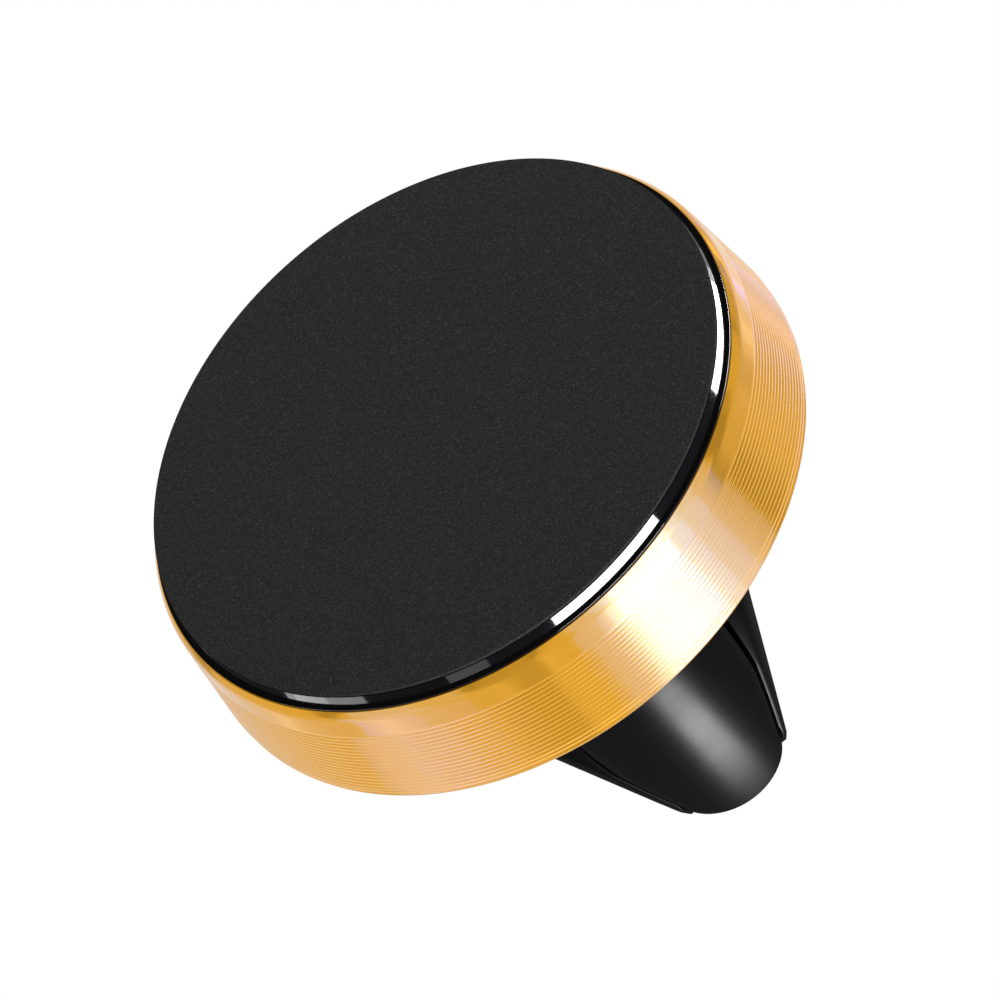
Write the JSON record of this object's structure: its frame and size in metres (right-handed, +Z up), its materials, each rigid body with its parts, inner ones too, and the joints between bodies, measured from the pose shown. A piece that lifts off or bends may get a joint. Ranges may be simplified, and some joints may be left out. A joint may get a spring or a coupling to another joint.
{
  "type": "magnetic car vent phone mount",
  "caption": "Round magnetic phone mount for a car air vent: a disc head in a grooved metal ring on a ball joint, with a tapered slotted rubber clip behind.",
  "frame": {"origin": "on the mount's axis at the grip point, where the clip's fingers close on the vent blade", "axes": "+Y along the mount's axis into the vent, the face points along -Y at the driver, +Z up; the two crossed slots lie in the XY and YZ planes"},
  "size_m": [0.04, 0.0391, 0.04],
  "materials": {
    "face_rubber": "matte charcoal, fine mineral grain",
    "adhesive": "matte film",
    "gloss_black_plastic": "polished",
    "satin_black_plastic": "fine moulded texture",
    "inner_plastic": "plain moulded",
    "white_plastic": "low-friction, natural white",
    "gold_anodised_aluminium": "gold anodised, smooth front band, turned grooves behind",
    "plated_steel": "zinc plated",
    "screw_steel": "black nickel",
    "polished_steel": "turned and polished",
    "nickel_plated_magnet": "nickel plated",
    "black_rubber": "satin"
  },
  "bodies": {
    "clip": {"clip_base": "inner_plastic", "lock_collar": "satin_black_plastic", "seat_spring": "plated_steel", "base_sleeve": "black_rubber"},
    "seat": {"ball_seat": "white_plastic"},
    "stud": {"ball_stud": "polished_steel", "thrust_washer": "white_plastic", "stud_nut": "plated_steel", "friction_washer": "plated_steel"},
    "head": {"face_disc": "face_rubber", "disc_adhesive": "adhesive", "face_plate": "gloss_black_plastic", "magnet_tray": "inner_plastic", "magnet_1": "nickel_plated_magnet", "magnet_2": "nickel_plated_magnet", "magnet_3": "nickel_plated_magnet", "magnet_4": "nickel_plated_magnet", "magnet_5": "nickel_plated_magnet", "magnet_6": "nickel_plated_magnet", "yoke_plate": "plated_steel", "back_cover": "satin_black_plastic", "cover_screws": "screw_steel", "trim_ring": "gold_anodised_aluminium"},
    "finger_1": {"finger_arm_1": "inner_plastic", "finger_grip_1": "black_rubber"},
    "finger_2": {"finger_arm_2": "inner_plastic", "finger_grip_2": "black_rubber"},
    "finger_3": {"finger_arm_3": "inner_plastic", "finger_grip_3": "black_rubber"},
    "finger_4": {"finger_arm_4": "inner_plastic", "finger_grip_4": "black_rubber"}
  },
  "joints": [
    {"name": "seat_turn", "type": "hinge", "parent": "clip", "child": "seat", "pos_m": [0, -0.0152, 0], "axis": [0, 1, 0], "continuous": true},
    {"name": "ball_tilt", "type": "hinge", "parent": "seat", "child": "stud", "pos_m": [0, -0.0152, 0], "axis": [1, 0, 0], "range_deg": [-20, 20]},
    {"name": "head_spin", "type": "hinge", "parent": "stud", "child": "head", "pos_m": [0, -0.0152, 0], "axis": [0, 1, 0], "continuous": true},
    {"name": "finger_flex_1", "type": "hinge", "parent": "clip", "child": "finger_1", "pos_m": [0.00438, -0.0107, -0.00438], "axis": [-0.7071, 0, -0.7071], "range_deg": [0, 7], "stiffness_Nm_per_rad": 0.4, "springref_deg": -2.86},
    {"name": "finger_flex_2", "type": "hinge", "parent": "clip", "child": "finger_2", "pos_m": [-0.00438, -0.0107, -0.00438], "axis": [-0.7071, 0, 0.7071], "range_deg": [0, 7], "stiffness_Nm_per_rad": 0.4, "springref_deg": -2.86},
    {"name": "finger_flex_3", "type": "hinge", "parent": "clip", "child": "finger_3", "pos_m": [-0.00438, -0.0107, 0.00438], "axis": [0.7071, 0, 0.7071], "range_deg": [0, 7], "stiffness_Nm_per_rad": 0.4, "springref_deg": -2.86},
    {"name": "finger_flex_4", "type": "hinge", "parent": "clip", "child": "finger_4", "pos_m": [0.00438, -0.0107, 0.00438], "axis": [0.7071, 0, -0.7071], "range_deg": [0, 7], "stiffness_Nm_per_rad": 0.4, "springref_deg": -2.86}
  ],
  "couplings": [
    {"joint": "finger_flex_2", "follows": "finger_flex_1", "ratio": 1},
    {"joint": "finger_flex_3", "follows": "finger_flex_1", "ratio": 1},
    {"joint": "finger_flex_4", "follows": "finger_flex_1", "ratio": 1}
  ]
}
